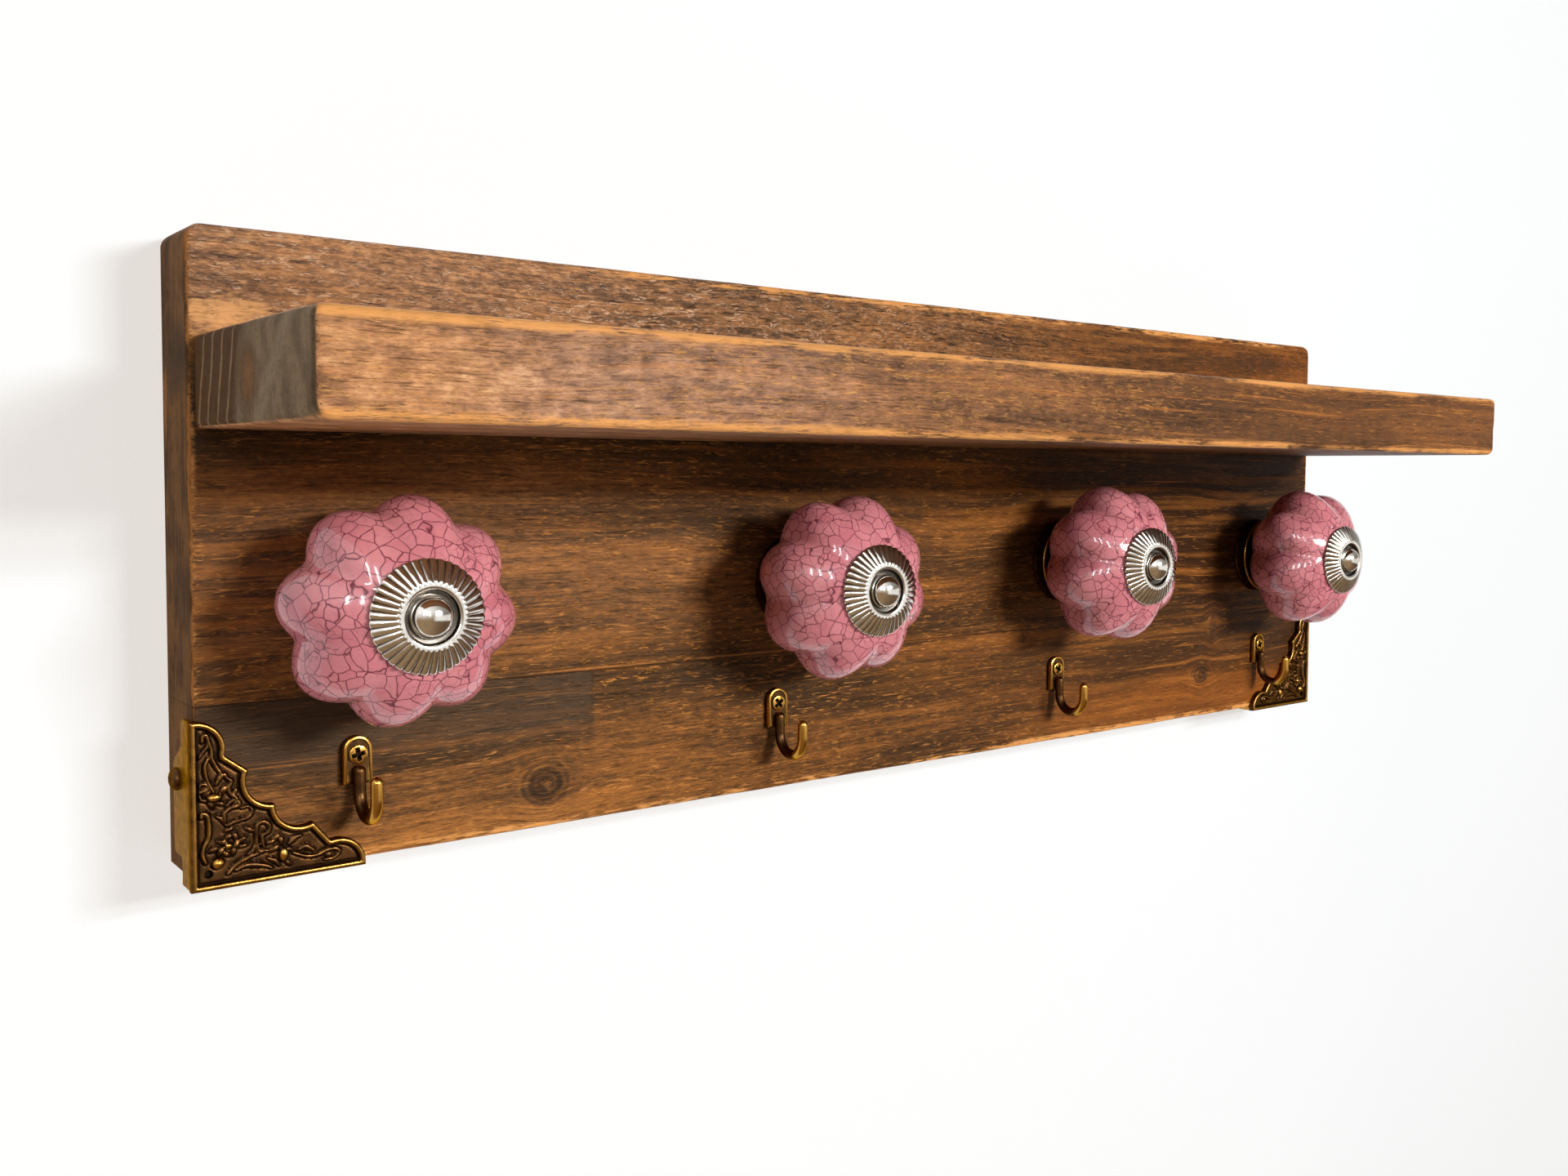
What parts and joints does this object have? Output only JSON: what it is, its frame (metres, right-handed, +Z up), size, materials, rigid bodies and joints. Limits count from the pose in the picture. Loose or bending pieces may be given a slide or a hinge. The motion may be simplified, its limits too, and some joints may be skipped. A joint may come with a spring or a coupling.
{
  "type": "key holder shelf",
  "caption": "Wall shelf with a stained pine back board, lobed ceramic knobs that turn on their bolts, small key hooks and bronze corner brackets.",
  "frame": {"origin": "middle of the back board's rear face, the plane that lies on the wall", "axes": "+X along the board to the right as seen from the front, +Y into the wall, +Z up"},
  "size_m": [0.375, 0.0925, 0.1299],
  "materials": {
    "stained_pine": "dark walnut stain, sanded through at the edges, satin",
    "pink_glaze": "gloss crackle glaze",
    "silver_metal": "polished",
    "antique_bronze": "antiqued, dark in the recesses and bright on the edges",
    "zinc_steel": "zinc plated"
  },
  "bodies": {
    "frame": {"back_board": "stained_pine", "bracket_screws": "antique_bronze", "corner_bracket_left": "antique_bronze", "corner_bracket_right": "antique_bronze", "hanger_plate_left": "zinc_steel", "hanger_plate_right": "zinc_steel", "hanger_screws": "zinc_steel", "hook_screws": "antique_bronze", "key_hook_1": "antique_bronze", "key_hook_2": "antique_bronze", "key_hook_3": "antique_bronze", "key_hook_4": "antique_bronze", "knob_bolts": "silver_metal", "knob_collar_1": "antique_bronze", "knob_collar_2": "antique_bronze", "knob_collar_3": "antique_bronze", "knob_collar_4": "antique_bronze", "knob_nuts": "zinc_steel", "knob_washers": "zinc_steel", "shelf_board": "stained_pine", "shelf_screws": "zinc_steel"},
    "knob_1": {"knob_body_1": "pink_glaze", "knob_rosette_1": "silver_metal"},
    "knob_2": {"knob_body_2": "pink_glaze", "knob_rosette_2": "silver_metal"},
    "knob_3": {"knob_body_3": "pink_glaze", "knob_rosette_3": "silver_metal"},
    "knob_4": {"knob_body_4": "pink_glaze", "knob_rosette_4": "silver_metal"}
  },
  "joints": [
    {"name": "knob_1_turn", "type": "hinge", "parent": "frame", "child": "knob_1", "pos_m": [-0.1525, -0.022, -0.0105], "axis": [0, -1, 0], "continuous": true},
    {"name": "knob_2_turn", "type": "hinge", "parent": "frame", "child": "knob_2", "pos_m": [-0.0429, -0.022, -0.0109], "axis": [0, -1, 0], "continuous": true},
    {"name": "knob_3_turn", "type": "hinge", "parent": "frame", "child": "knob_3", "pos_m": [0.0565, -0.022, -0.0088], "axis": [0, -1, 0], "continuous": true},
    {"name": "knob_4_turn", "type": "hinge", "parent": "frame", "child": "knob_4", "pos_m": [0.1547, -0.022, -0.0102], "axis": [0, -1, 0], "continuous": true}
  ]
}
